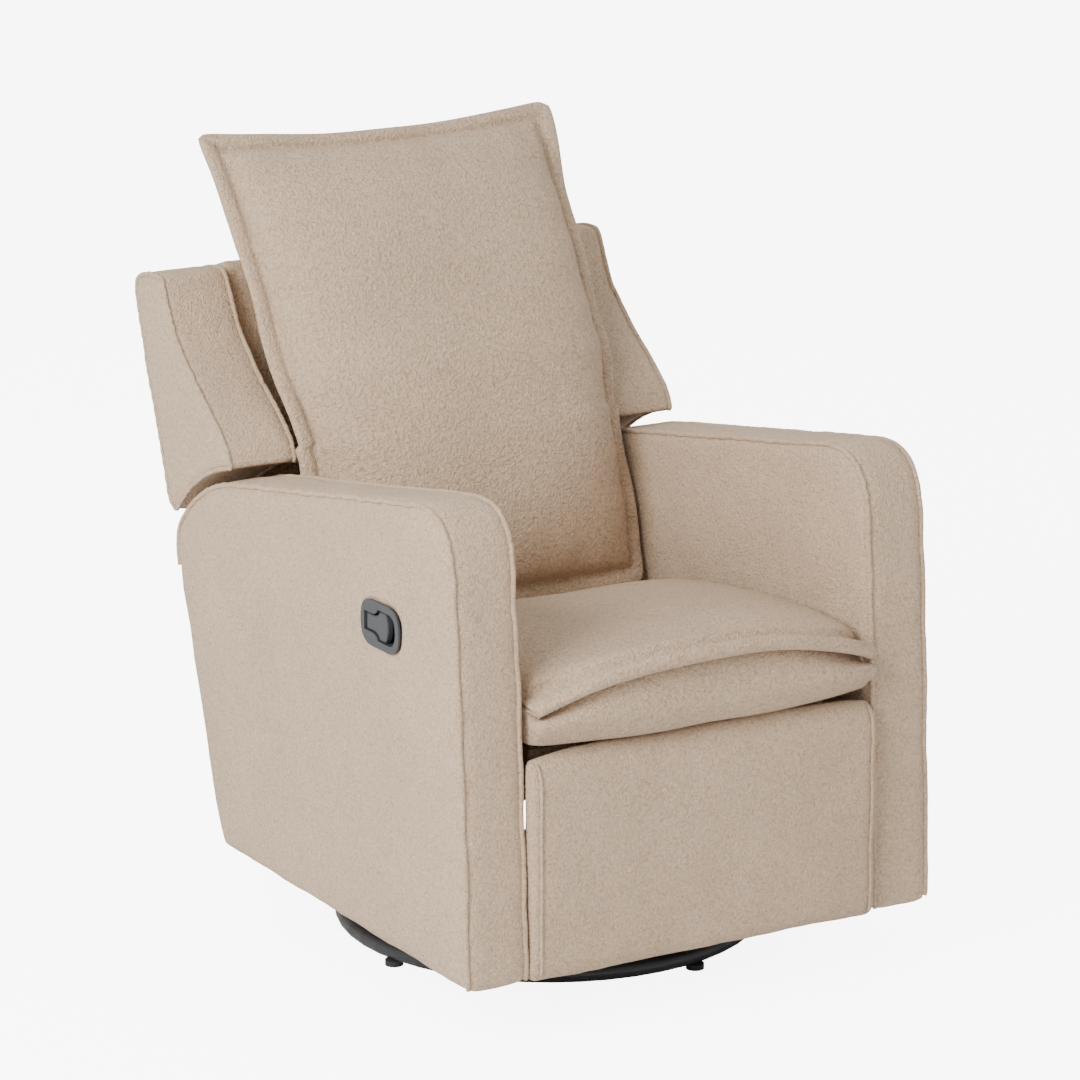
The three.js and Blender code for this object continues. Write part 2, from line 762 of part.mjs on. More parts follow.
function reclineBracket() {
  const eye = 18;
  const rear = 141;
  const shape = new THREE.Shape();
  shape.absarc(0, 0, eye, 90 * DEG, 270 * DEG);
  shape.lineTo(rear - 10, -6);
  shape.lineTo(rear, 4);
  shape.lineTo(rear, 220);
  shape.lineTo(rear - 24, 220);
  shape.lineTo(rear - 24, 36);
  shape.lineTo(0, eye);
  return slabX(withHoles(shape, [[0, 0]], 2 * pinRadius + pinGap), linkPlate);
}

// A height up the pillow as a share of what stands above the wings.
function above(share) {
  const clear = backTop + 20;
  return clear + share * (pillowTop - clear);
}

// The flange line of the pillow: height s, r, and how far it stands out beyond the pillow's foot.
const flangeLine = [
  [pillowBottom, -60, 0],
  [pillowBottom + 28, -61, 0],
  [pillowBottom + 75, -61, 0],
  [200, -60, 0],
  [310, -58, 0],
  [345, -57, 8],
  [420, -44, 20],
  [500, -24, 21],
  [580, -6, 22],
  [above(0), 6, 24],
  [above(0.375), 20, 26],
  [above(0.66), 32, 29],
  [above(0.875), 40, 31],
  [above(1), 45, 30],
];

function pillowRings() {
  const shares = [1, 0.96, 0.88, 0.6, 0, -0.6, -0.88, -0.96, -1];
  const middle = (pillowTop + pillowBottom) / 2;
  const halfHeight = (pillowTop - pillowBottom) / 2 - 22;
  return flangeLine.map(([s, r, flare]) => {
    const half = armInner - cushionSideGap + flare;
    const up = Math.min(1, Math.abs(s - middle) / halfHeight);
    const height = (1 - up ** 2.6) ** 0.6;
    const rearRoom = s < backTop ? slabFront - 3 - flangeHalf - r : 45;
    const places = [half, ...shares.map((share) => share * pillowHalf), -half];
    const bulgeAt = (x, depth) => {
      const across = Math.min(1, Math.abs(x) / pillowHalf);
      return depth * height * (1 - across ** 2.6) ** 0.6;
    };
    const rear = places.map((x) => new THREE.Vector3(x, r + flangeHalf + bulgeAt(x, rearRoom * 0.9), s));
    const front = places.map((x) => new THREE.Vector3(-x, r - flangeHalf - bulgeAt(x, pillowFront), s));
    return [...rear, ...front];
  });
}

function wingOutline() {
  const shape = new THREE.Shape();
  const sweep = armEndRadius + 16;
  const frontAngle = Math.atan2(312, -44);
  const rearAngle = Math.atan2(267, 150);
  shape.moveTo(sweep * Math.cos(frontAngle), sweep * Math.sin(frontAngle));
  shape.absarc(0, 0, sweep, frontAngle, rearAngle, true);
  shape.lineTo(backRear, 292);
  shape.lineTo(backRear, backTop - backRound);
  shape.quadraticCurveTo(backRear, backTop, backRear - 26, backTop);
  shape.quadraticCurveTo(backRear - 60, backTop, 80, backTop - 17);
  shape.quadraticCurveTo(76, backTop - 60, 68, 520);
  shape.quadraticCurveTo(42, 466, 15, 430);
  shape.quadraticCurveTo(-18, 384, -40, 345);
  return shape;
}

// Pull handle: bezel cup in the right arm, paddle, hinge pin, cable and trip lever.

function roundedYZ(length, height, corner) {
  const [y, z] = [length / 2, height / 2];
  const radius = Math.min(corner, y - 1, z - 1);
  const shape = new THREE.Shape();
  shape.moveTo(-y + radius, -z);
  shape.lineTo(y - radius, -z);
  shape.quadraticCurveTo(y, -z, y, -z + radius);
  shape.lineTo(y, z - radius);
  shape.quadraticCurveTo(y, z, y - radius, z);
  shape.lineTo(-y + radius, z);
  shape.quadraticCurveTo(-y, z, -y, z - radius);
  shape.lineTo(-y, -z + radius);
  shape.quadraticCurveTo(-y, -z, -y + radius, -z);
  return shape;
}

function cupTool() {
  const length = bezelLength - 2 * bezelRim + 1;
  const height = bezelHeight - 2 * bezelRim + 1;
  const depth = armWidth - slotWall - slotWidth + 4;
  const tool = slabX(roundedYZ(length, height, cupCorner), depth);
  return tool.translate(-armOuter + depth / 2 - 2, handleY, handleZ);
}

function handleAssembly() {
  const group = new THREE.Group();
  const length = bezelLength - 2 * bezelRim;
  const height = bezelHeight - 2 * bezelRim;
  const rim = slabX(roundedYZ(bezelLength, bezelHeight, bezelCorner), flange, 0, 9);
  rim.translate(-flange / 2 - seatGap, 0, 0);
  const cup = slabX(roundedYZ(length, height, cupCorner), cupDepth).translate(cupDepth / 2 - flange, 0, 0);
  const recess = slabX(cupOpening(length, height), cupDepth).translate(cupDepth / 2 - flange - cupWall, 0, 0);
  const pinHalf = stemHalf + paddleGap + cupWall;
  const pin = discZ(hingePinRadius, -pinHalf, pinHalf, 12).translate(hingePinX, hingePinY, 0);
  const bezel = joined(cut(joined(rim, cup), recess), pin);
  group.add(part("handle_bezel", bezel, "plastic", -armOuter, handleY, handleZ));
  group.add(part("handle_paddle", paddle(height), "plastic", -armOuter, handleY, handleZ));
  group.add(part("release_cable", cable(), "rubber"));
  group.add(part("trip_lever", tripLever(), "zinc"));
  return group;
}

// Full height around the paddle's grip and in front of it, narrow beside its stem.
function cupOpening(length, height) {
  const front = cupWall - length / 2;
  const rear = length / 2 - cupWall;
  const high = height / 2 - cupWall;
  const low = stemHalf + paddleGap;
  const neck = headRear + paddleGap + 1;
  const corner = Math.min(cupCorner, height / 2 - 1) - cupWall;
  const shape = new THREE.Shape();
  shape.moveTo(front + corner, -high);
  shape.lineTo(neck, -high);
  shape.quadraticCurveTo(neck + 4, -low, neck + 16, -low);
  shape.lineTo(rear, -low);
  shape.lineTo(rear, low);
  shape.lineTo(neck + 16, low);
  shape.quadraticCurveTo(neck + 4, low, neck, high);
  shape.lineTo(front + corner, high);
  shape.quadraticCurveTo(front, high, front, high - corner);
  shape.lineTo(front, corner - high);
  shape.quadraticCurveTo(front, -high, front + corner, -high);
  return shape;
}

// T-shaped: a narrow stem on the hinge pin and a wide grip at the front, clear of the cup's end.
function paddle(height) {
  const gripHalf = height / 2 - cupWall - paddleGap;
  const rear = hingePinY + 3;
  const outline = new THREE.Shape();
  outline.moveTo(headTip + 8, -gripHalf);
  outline.lineTo(headRear, -gripHalf);
  outline.quadraticCurveTo(headRear + 4, -stemHalf, headRear + 16, -stemHalf);
  outline.lineTo(rear, -stemHalf);
  outline.lineTo(rear, stemHalf);
  outline.lineTo(headRear + 16, stemHalf);
  outline.quadraticCurveTo(headRear + 4, stemHalf, headRear, gripHalf);
  outline.lineTo(headTip + 8, gripHalf);
  outline.quadraticCurveTo(headTip - 4, 0, headTip + 8, -gripHalf);
  const blade = slabX(outline, paddlePlate, 2).translate(paddlePlate / 2 - 2, 0, 0);
  const barrel = discZ(barrelRadius, -stemHalf, stemHalf, 16).translate(hingePinX, hingePinY, 0);
  const boreHalf = stemHalf + 1;
  const bore = discZ(hingePinRadius + pinGap, -boreHalf, boreHalf, 16).translate(hingePinX, hingePinY, 0);
  return cut(joined(blade, barrel), bore);
}

function cable() {
  const cavityX = armInner + slotWall + boardWidth + 6;
  const startX = armOuter - cupDepth + flange - seatGap;
  const points = [
    [-startX, handleY + 30, handleZ],
    [-startX + 14, handleY + 31, handleZ - 1],
    [-cavityX - 6, handleY + 36, handleZ - 12],
    [-cavityX, handleY + 45, handleZ - 35],
    [-cavityX, handleY + 75, handleZ - 95],
    [-cavityX, cableEndY - 8, cableEndZ + 32],
    [-cavityX + 3, cableEndY - 1, cableEndZ + 10],
    [-cavityX + 13, cableEndY, cableEndZ],
    [-armInner - 2, cableEndY, cableEndZ],
    [-mechOuter - 6.5, cableEndY, cableEndZ],
  ];
  const section = new THREE.Shape();
  section.absarc(0, 0, cableRadius, 0, 360 * DEG);
  return new THREE.ExtrudeGeometry(section, {
    curveSegments: 4,
    steps: 40,
    bevelEnabled: false,
    extrudePath: new THREE.CatmullRomCurve3(points.map((point) => new THREE.Vector3(...point))),
  });
}

function tripLever() {
  const outline = linkOutline([cableEndY - 2, cableEndZ - 2], [leverY, leverZ], leverWidth);
  withHoles(outline, [[leverY, leverZ]], pinRadius + pinGap);
  return slabX(outline, leverPlate).translate(-mechOuter - leverPlate, 0, 0);
}

const chair = new THREE.Group();
chair.add(base(), swivel(), swingLinks(), seatFrame(), arms(), mechanism());
chair.add(footrestLinks(), footrest(), seatCushion(), back(), handleAssembly());
const bounds = new THREE.Box3().setFromObject(chair, true);
const middle = bounds.getCenter(new THREE.Vector3());
chair.position.set(-middle.x, -middle.y, -bounds.min.z);

export default chair;
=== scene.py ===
"""Swivel glider chair in curly fleece: the looks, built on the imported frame. Metres, +Z up."""

import json
import math

import bmesh
import bpy
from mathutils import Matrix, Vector, noise
from mathutils.bvhtree import BVHTree
from mathutils.kdtree import KDTree


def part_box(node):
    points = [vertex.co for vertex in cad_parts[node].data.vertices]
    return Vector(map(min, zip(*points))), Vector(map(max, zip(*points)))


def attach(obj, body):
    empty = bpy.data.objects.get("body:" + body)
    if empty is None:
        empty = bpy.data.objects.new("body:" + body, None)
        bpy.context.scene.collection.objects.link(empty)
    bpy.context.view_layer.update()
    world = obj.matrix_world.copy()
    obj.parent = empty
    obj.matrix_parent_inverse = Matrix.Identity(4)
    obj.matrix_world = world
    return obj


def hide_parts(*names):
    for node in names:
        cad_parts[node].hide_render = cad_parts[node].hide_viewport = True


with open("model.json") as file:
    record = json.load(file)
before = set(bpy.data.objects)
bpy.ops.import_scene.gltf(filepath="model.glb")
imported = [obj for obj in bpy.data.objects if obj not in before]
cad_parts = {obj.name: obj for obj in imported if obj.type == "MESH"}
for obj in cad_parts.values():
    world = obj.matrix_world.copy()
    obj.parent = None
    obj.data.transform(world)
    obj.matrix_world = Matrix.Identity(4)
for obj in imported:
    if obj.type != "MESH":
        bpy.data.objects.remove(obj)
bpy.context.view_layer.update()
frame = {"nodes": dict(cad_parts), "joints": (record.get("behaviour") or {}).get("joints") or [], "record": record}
nodes = frame["nodes"]
joints = {joint["name"]: joint for joint in frame["joints"]}
LEAN = math.radians(18.5)
PIVOT = Vector(joints["back_recline"]["pos_m"])
MID_X = PIVOT.x
FOCUS = Vector((-0.0233, -0.0722, 0.5577))
CAMERA_DISTANCE = 6.373
AZIMUTH = math.radians(-30.48)
ELEVATION = math.radians(14.86)
LENS = 154.0
SENSOR = 36
SHARP_ANGLE = math.radians(32)


def camera():
    data = bpy.data.cameras.new("camera")
    data.lens = LENS
    data.sensor_width = SENSOR
    data.clip_end = 50
    eye = bpy.data.objects.new("camera", data)
    back = Vector((
        math.sin(AZIMUTH) * math.cos(ELEVATION),
        -math.cos(AZIMUTH) * math.cos(ELEVATION),
        math.sin(ELEVATION),
    ))
    eye.location = FOCUS + CAMERA_DISTANCE * back
    eye.rotation_euler = back.to_track_quat("Z", "Y").to_euler()
    bpy.context.scene.collection.objects.link(eye)
    bpy.context.scene.camera = eye


# Materials

def shader(name, colour, roughness, metallic=0.0):
    material = bpy.data.materials.new(name)
    material.use_nodes = True
    surface = material.node_tree.nodes["Principled BSDF"]
    surface.inputs["Base Color"].default_value = (*colour, 1)
    surface.inputs["Roughness"].default_value = roughness
    surface.inputs["Metallic"].default_value = metallic
    return material, material.node_tree, surface


def node(tree, kind, **values):
    made = tree.nodes.new(kind)
    for key, value in values.items():
        if key in made.inputs:
            made.inputs[key].default_value = value
        else:
            setattr(made, key, value)
    return made


def noise_node(tree, where, scale, detail=3.0, roughness=0.6):
    made = node(tree, "ShaderNodeTexNoise", Scale=scale, Detail=detail, Roughness=roughness)
    tree.links.new(where.outputs["Object"], made.inputs["Vector"])
    return made


def ramp(tree, source, low, high, low_colour, high_colour):
    made = tree.nodes.new("ShaderNodeValToRGB")
    made.color_ramp.elements[0].position = low
    made.color_ramp.elements[1].position = high
    made.color_ramp.elements[0].color = (*low_colour, 1)
    made.color_ramp.elements[1].color = (*high_colour, 1)
    tree.links.new(source, made.inputs["Fac"])
    return made


def shade(colour, factor):
    return tuple(channel * factor for channel in colour)


def fleece(name, colour, curl=290.0, height=0.0042):
    """Curly fleece: round tufts, finer loops on them, painted shade darker between the tufts and in the low parts
    of the loops.
    """
    material, tree, surface = shader(name, colour, 0.95)
    where = tree.nodes.new("ShaderNodeTexCoord")
    warp = noise_node(tree, where, curl * 0.5, 2.0)
    shift = node(tree, "ShaderNodeMixRGB", blend_type="LINEAR_LIGHT", Fac=0.006)
    tree.links.new(where.outputs["Object"], shift.inputs["Color1"])
    tree.links.new(warp.outputs["Color"], shift.inputs["Color2"])
    tufts = node(tree, "ShaderNodeTexVoronoi", feature="SMOOTH_F1", Scale=curl, Smoothness=0.55)
    tree.links.new(shift.outputs["Color"], tufts.inputs["Vector"])
    loops = noise_node(tree, where, curl * 3.2, 4.0, 0.7)
    broad = noise_node(tree, where, 7.0, 3.0)
    soil = ramp(tree, broad.outputs["Fac"], 0.3, 0.7, shade(colour, 0.95), shade(colour, 1.05))
    # painted shade: darker between the tufts where the bump makes hollows, lighter in the tuft middles
    tuft_gap_shade = ramp(tree, tufts.outputs["Distance"], 0.25, 0.85, (1.06, 1.06, 1.06), (0.7, 0.66, 0.6))
    # random broad tone multiplied by the painted shade between the tufts
    tone_and_gap_shade = node(tree, "ShaderNodeMixRGB", blend_type="MULTIPLY", Fac=0.9)
    tree.links.new(soil.outputs["Color"], tone_and_gap_shade.inputs["Color1"])
    tree.links.new(tuft_gap_shade.outputs["Color"], tone_and_gap_shade.inputs["Color2"])
    # painted shade: the fine loops darker where the bump makes them low, lighter on their tops
    loop_shade = ramp(tree, loops.outputs["Fac"], 0.35, 0.68, (0.82, 0.81, 0.79), (1.08, 1.08, 1.08))
    final = node(tree, "ShaderNodeMixRGB", blend_type="MULTIPLY", Fac=0.8)
    tree.links.new(tone_and_gap_shade.outputs["Color"], final.inputs["Color1"])
    tree.links.new(loop_shade.outputs["Color"], final.inputs["Color2"])
    tree.links.new(final.outputs["Color"], surface.inputs["Base Color"])
    coarse = node(tree, "ShaderNodeBump", Strength=0.75, Distance=height, invert=True)
    tree.links.new(tufts.outputs["Distance"], coarse.inputs["Height"])
    fine = node(tree, "ShaderNodeBump", Strength=0.55, Distance=height * 0.6)
    tree.links.new(loops.outputs["Fac"], fine.inputs["Height"])
    tree.links.new(coarse.outputs["Normal"], fine.inputs["Normal"])
    tree.links.new(fine.outputs["Normal"], surface.inputs["Normal"])
    surface.inputs["Sheen Weight"].default_value = 0.12
    surface.inputs["Sheen Roughness"].default_value = 0.6
    surface.inputs["Specular IOR Level"].default_value = 0.15
    return material


def coated(name, colour, roughness, metallic, grain, depth, wear=1.35):
    """Painted, plated or moulded surface: fine grain, uneven gloss, slightly rubbed patches."""
    material, tree, surface = shader(name, colour, roughness, metallic)
    where = tree.nodes.new("ShaderNodeTexCoord")
    fine = noise_node(tree, where, grain, 4.0)
    broad = noise_node(tree, where, 14.0, 4.0)
    tint = ramp(tree, broad.outputs["Fac"], 0.35, 0.72, colour, shade(colour, wear))
    tree.links.new(tint.outputs["Color"], surface.inputs["Base Color"])
    gloss = node(tree, "ShaderNodeMapRange")
    gloss.inputs["To Min"].default_value = max(0.05, roughness - 0.1)
    gloss.inputs["To Max"].default_value = min(1.0, roughness + 0.12)
    tree.links.new(broad.outputs["Fac"], gloss.inputs["Value"])
    tree.links.new(gloss.outputs["Result"], surface.inputs["Roughness"])
    bump = node(tree, "ShaderNodeBump", Strength=0.35, Distance=depth)
    tree.links.new(fine.outputs["Fac"], bump.inputs["Height"])
    tree.links.new(bump.outputs["Normal"], surface.inputs["Normal"])
    return material


def timber(name):
    material, tree, surface = shader(name, (0.5, 0.34, 0.19), 0.6)
    where = tree.nodes.new("ShaderNodeTexCoord")
    grain = node(tree, "ShaderNodeTexWave", Scale=22.0, Distortion=6.0, Detail=3.0)
    tree.links.new(where.outputs["Object"], grain.inputs["Vector"])
    tint = ramp(tree, grain.outputs["Fac"], 0.1, 0.9, (0.36, 0.23, 0.12), (0.56, 0.4, 0.24))
    tree.links.new(tint.outputs["Color"], surface.inputs["Base Color"])
    bump = node(tree, "ShaderNodeBump", Strength=0.2, Distance=0.0005)
    tree.links.new(grain.outputs["Fac"], bump.inputs["Height"])
    tree.links.new(bump.outputs["Normal"], surface.inputs["Normal"])
    return material


COVER = (0.66, 0.488, 0.338)
MATERIALS = {
    "cover_fabric": fleece("cover_fleece", COVER),
    "cushion_fabric": fleece("cushion_fleece", shade(COVER, 0.98), 250.0, 0.005),
    "wood": timber("frame_timber"),
    "black_steel": coated("black_paint", (0.018, 0.018, 0.02), 0.42, 0.0, 900.0, 0.0002),
    "zinc_steel": coated("zinc_plate", (0.5, 0.51, 0.52), 0.35, 1.0, 700.0, 0.0002, 1.15),
    "handle_plastic": coated("handle_mould", (0.035, 0.037, 0.04), 0.5, 0.0, 1600.0, 0.0003),
    "rubber": coated("foot_rubber", (0.02, 0.02, 0.02), 0.85, 0.0, 500.0, 0.0004),
    "cable": coated("cable_jacket", (0.03, 0.03, 0.03), 0.5, 0.0, 600.0, 0.0002),
}


def dress_frame():
    """The CAD pieces that show as they are: material by slot, smooth round faces, softened edges on the handle
    pieces.
    """
    slots = {part["node"]: part["material_slot"] for part in frame["record"]["subparts"]}
    for name, piece in nodes.items():
        piece.data.materials.clear()
        piece.data.materials.append(MATERIALS[slots[name]])
        piece.data.shade_smooth()
        piece.data.set_sharp_from_angle(angle=SHARP_ANGLE)
        if name.startswith("handle"):
            edge = piece.modifiers.new("edge", "BEVEL")
            edge.width = 0.0009
            edge.segments = 3
            edge.limit_method = "ANGLE"
            edge.harden_normals = True


# Mesh tools

def new_piece(name, verts, faces, slot, body):
    mesh = bpy.data.meshes.new(name)
    mesh.from_pydata([tuple(v) for v in verts], [], faces)
    mesh.validate()
    return finish_piece(name, mesh, slot, body)


def finish_piece(name, mesh, slot, body):
    mesh.materials.clear()
    mesh.materials.append(MATERIALS[slot])
    mesh.shade_smooth()
    piece = bpy.data.objects.new(name, mesh)
    bpy.context.scene.collection.objects.link(piece)
    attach(piece, body)
    return piece


def applied(piece):
    """The mesh of a piece with its modifiers applied, which are then removed."""
    graph = bpy.context.evaluated_depsgraph_get()
    mesh = bpy.data.meshes.new_from_object(piece.evaluated_get(graph))
    piece.modifiers.clear()
    piece.data = mesh
    mesh.shade_smooth()
    return mesh


def rounded(name, mesh, slot, body, voxel, smooth):
    """A dense, soft-edged mesh from a hard-edged closed one."""
    piece = finish_piece(name, mesh, slot, body)
    remesh = piece.modifiers.new("remesh", "REMESH")
    remesh.mode = "VOXEL"
    remesh.voxel_size = voxel
    soften = piece.modifiers.new("soften", "SMOOTH")
    soften.factor = 0.6
    soften.iterations = smooth
    applied(piece)
    piece.data.materials.clear()
    piece.data.materials.append(MATERIALS[slot])
    return piece


def from_cad(name, cad_name, slot, body, voxel=0.006, smooth=10):
    piece = rounded(name, nodes[cad_name].data.copy(), slot, body, voxel, smooth)
    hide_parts(cad_name)
    return piece


def unevenness(point, seed, size=0.05):
    return noise.fractal(point / size + Vector((seed, 0, 0)), 1.0, 2.0, 3)


def ruffle(piece, amount, seed, size=0.07):
    """Moves the surface a little in and out along its normals, as filling under cloth does."""
    move_to(piece, [
        vertex.co + vertex.normal * amount * unevenness(vertex.co, seed, size)
        for vertex in piece.data.vertices
    ])


def move_to(piece, places):
    flat = [value for place in places for value in place]
    piece.data.vertices.foreach_set("co", flat)
    piece.data.update()


def tube_mesh(points, radius, closed, sides=10):
    count = len(points)
    verts = []
    normal = None
    for i, point in enumerate(points):
        after = points[(i + 1) % count] if closed or i + 1 < count else point
        before = points[i - 1] if closed or i else point
        along = (after - before).normalized()
        if normal is None:
            normal = along.orthogonal().normalized()
        normal = (normal - along * normal.dot(along)).normalized()
        side = along.cross(normal)
        thick = radius * (1 + 0.12 * noise.noise(point * 160))
        for k in range(sides):
            turn = 2 * math.pi * k / sides
            verts.append(point + thick * (math.cos(turn) * normal + math.sin(turn) * side))
    faces = []
    for i in range(count if closed else count - 1):
        for k in range(sides):
            a, b = i * sides + k, i * sides + (k + 1) % sides
            c, d = ((i + 1) % count) * sides + (k + 1) % sides, ((i + 1) % count) * sides + k
            faces.append((a, b, c, d))
    if not closed:
        faces.append(tuple(reversed(range(sides))))
        faces.append(tuple(range((count - 1) * sides, count * sides)))
    return verts, faces


def resampled(points, step):
    out = [points[0].copy()]
    carry = 0.0
    for a, b in zip(points, points[1:]):
        length = (b - a).length
        if length < 1e-9:
            continue
        at = step - carry
        while at < length:
            out.append(a.lerp(b, at / length))
            at += step
        carry = length - (at - step)
    return out


def seam(name, points, base, body, slot="cover_fabric", radius=0.0042, depth=0.0028, reach=0.011):
    """A sewn edge on a soft piece: a groove pressed into it and the thin rolled welt in the groove."""
    tree = BVHTree.FromObject(base, bpy.context.evaluated_depsgraph_get())
    line = []
    for point in resampled(points, 0.006):
        place, normal, _, _ = tree.find_nearest(point)
        line.append((place, normal))
    press_along(base, [place for place, _ in line], depth, reach)
    welt = [place + normal * radius * 0.15 for place, normal in line]
    verts, faces = tube_mesh(welt, radius, False)
    return new_piece(name, verts, faces, slot, body)


def press_along(base, places, depth, reach):
    """Pushes the surface in near a line of points, most on the line itself."""
    near = KDTree(len(places))
    for i, place in enumerate(places):
        near.insert(place, i)
    near.balance()
    pressed = []
    for vertex in base.data.vertices:
        _, _, distance = near.find(vertex.co)
        push = depth * math.exp(-((distance / reach) ** 2)) if distance < 3 * reach else 0.0
        pressed.append(vertex.co - vertex.normal * push)
    move_to(base, pressed)


def outline_of(cad_name, x, tolerance=0.0015):
    """The outline of an extruded CAD node at one x, in order round its middle."""
    verts = {
        (round(v.co.y, 5), round(v.co.z, 5))
        for v in nodes[cad_name].data.vertices
        if abs(v.co.x - x) < tolerance
    }
    middle_y = sum(y for y, _ in verts) / len(verts)
    middle_z = sum(z for _, z in verts) / len(verts)
    ordered = sorted(verts, key=lambda p: math.atan2(p[1] - middle_z, p[0] - middle_y))
    return [Vector((x, y, z)) for y, z in ordered]


def leaned(r, s, x=0.0):
    """A point of the back, r rearward and s up it from the recline pivot, in metres."""
    y = r * math.cos(LEAN) + s * math.sin(LEAN)
    z = -r * math.sin(LEAN) + s * math.cos(LEAN)
    return Vector((MID_X + x, PIVOT.y + y, PIVOT.z + z))


# Arms

def arm(side_name, side):
    cad = f"arm_{side_name}"
    low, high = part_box(cad)
    piece = from_cad(f"arm_cover_{side_name}", cad, "cover_fabric", "seat", 0.0065, 5)
    outer = high[0] if side > 0 else low[0]
    middle_y, middle_z = (low[1] + high[1]) / 2, (low[2] + high[2]) / 2
    half_length, half_height = 0.42, 0.32
    face_depth, fall = 0.02, 0.005
    ruffle(piece, 0.0018, 3.0 * side, 0.09)
    places = [vertex.co.copy() for vertex in piece.data.vertices]
    for point in places:
        if abs(point.x - outer) < face_depth:
            across = max(abs(point.y - middle_y) / half_length, abs(point.z - middle_z) / half_height)
            point.x -= side * fall * min(1.0, across) ** 4
    move_to(piece, places)
    edge = 0.0115
    corner = 0.0035
    inner = outer - side * (high[0] - low[0])
    for place, ring_x, x in (
        ("outer", outer - side * edge, outer - side * corner),
        ("inner", inner + side * edge, inner + side * corner),
    ):
        line = [Vector((x, p.y, p.z)) for p in outline_of(cad, ring_x, 0.002)]
        bottom = low[2] + 0.004
        front = [p for p in line if p.z > bottom]
        front.sort(key=lambda p: math.atan2(p.z - low[2], p.y - middle_y), reverse=True)
        start = Vector((x, low[1] + 0.001, bottom))
        points = [start, *front]
        name = f"arm_seam_{place}_{side_name}"
        seam(name, points, piece, "seat", radius=0.0036, depth=0.0014, reach=0.014)
    return piece


# Wings and the slab of the back

def wing(side_name, side):
    cad = f"wing_{side_name}"
    low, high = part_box(cad)
    piece = from_cad(f"wing_cover_{side_name}", cad, "cover_fabric", "back", 0.006, 5)
    ruffle(piece, 0.0016, 7.0 * side)
    outer = high[0] if side > 0 else low[0]
    inner = outer - side * (high[0] - low[0])
    edge = 0.009
    corner = 0.003
    for place, ring_x, x in (
        ("outer", outer - side * edge, outer - side * corner),
        ("inner", inner + side * edge, inner + side * corner),
    ):
        line = [Vector((x, p.y, p.z)) for p in outline_of(cad, ring_x, 0.0012)]
        name = f"wing_seam_{place}_{side_name}"
        seam(name, [*line, line[0]], piece, "back", radius=0.0034, depth=0.0014, reach=0.012)
    return piece


def box_mesh(name, corners):
    """Closed boxes in (x, r, s) of the back, joined into one mesh for a remesh."""
    build = bmesh.new()
    for (x0, r0, s0), (x1, r1, s1) in corners:
        made = bmesh.ops.create_cube(build, size=1.0)
        for vertex in made["verts"]:
            x = x0 if vertex.co.x < 0 else x1
            r = r0 if vertex.co.y < 0 else r1
            s = s0 if vertex.co.z < 0 else s1
            vertex.co = leaned(r, s, x)
    mesh = bpy.data.meshes.new(name)
    build.to_mesh(mesh)
    build.free()
    return mesh


def slab():
    half, rear, front = 0.252, 0.173, 0.1
    top, bottom, hem = 0.62, 0.06, -0.045
    skin = 0.014
    mesh = box_mesh("back_slab", [
        ((-half, front, bottom), (half, rear, top)),
        ((-half - 0.01, rear - skin, hem), (half + 0.01, rear, bottom + 0.19)),
    ])
    piece = rounded("back_slab", mesh, "cover_fabric", "back", 0.006, 5)
    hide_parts("back_shell")
    ruffle(piece, 0.0016, 11.0, 0.08)
    for name, s in (("top", top - 0.03), ("lower", 0.255)):
        points = [leaned(rear, s, x * half) for x in (-0.97, -0.5, 0, 0.5, 0.97)]
        seam(f"back_slab_seam_{name}", points, piece, "back", depth=0.002, reach=0.008)


# Back pillow

PILLOW_BOTTOM, PILLOW_TOP = 0.068, 0.80
PILLOW_HALF = [(0.068, 0.262), (0.31, 0.262), (0.42, 0.281), (0.66, 0.284), (0.8, 0.294)]
PILLOW_PLANE = [(0.068, -0.060), (0.31, -0.058), (0.42, -0.044), (0.5, -0.024), (0.64, 0.006), (0.79, 0.045)]
SLAB_FRONT, SLAB_TOP = 0.1, 0.62
FLANGE = 0.026
LIP = 0.0074
LIP_EDGE = 0.008
CREASE = 0.005
PILLOW_DEPTH = 0.084
CORNER = 0.012
BODY_HALF = 0.25


def linear(table, at):
    for (s0, v0), (s1, v1) in zip(table, table[1:]):
        if at <= s1:
            t = max(0.0, min(1.0, (at - s0) / (s1 - s0)))
            return v0 + (v1 - v0) * t
    return table[-1][1]


def spread(count, edge_share):
    """Stations from -1 to 1, closer together near both ends."""
    out = []
    for i in range(count):
        t = -1 + 2 * i / (count - 1)
        out.append(t * (1 - edge_share) + math.sin(t * math.pi / 2) * edge_share)
    return out


